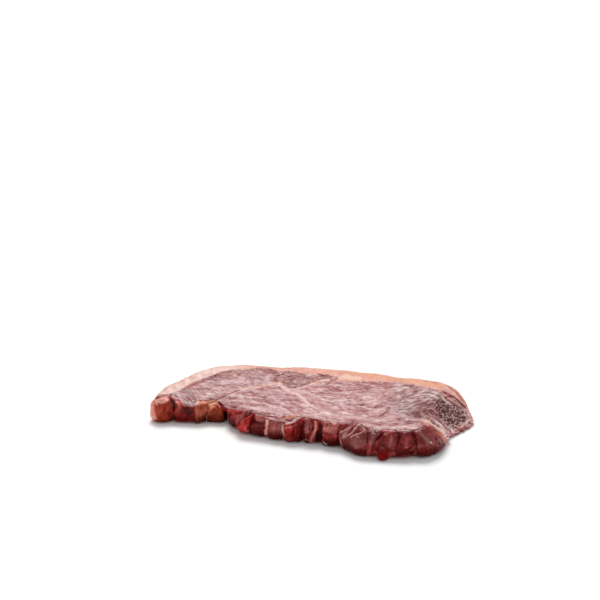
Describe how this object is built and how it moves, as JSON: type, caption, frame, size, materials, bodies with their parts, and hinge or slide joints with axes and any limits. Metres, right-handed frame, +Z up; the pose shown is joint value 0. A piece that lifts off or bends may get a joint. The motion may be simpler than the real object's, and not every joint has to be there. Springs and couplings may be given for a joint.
{
  "type": "raw beef steak",
  "caption": "Large raw rump steak lying flat, a slab of red meat with a rim of fat along its back and left side and a thin flap at the right end.",
  "frame": {"origin": "middle of the bounding box at the underside, which rests on the surface", "axes": "+X along the steak's length towards its thin flap, +Y across it towards the fat cap, +Z up"},
  "size_m": [0.2984, 0.1694, 0.0259],
  "materials": {
    "raw_beef": "moist raw meat: pink to dark red muscle with pale sheen, cream to orange fat"
  },
  "bodies": {
    "root": {"steak": "raw_beef"}
  },
  "joints": []
}
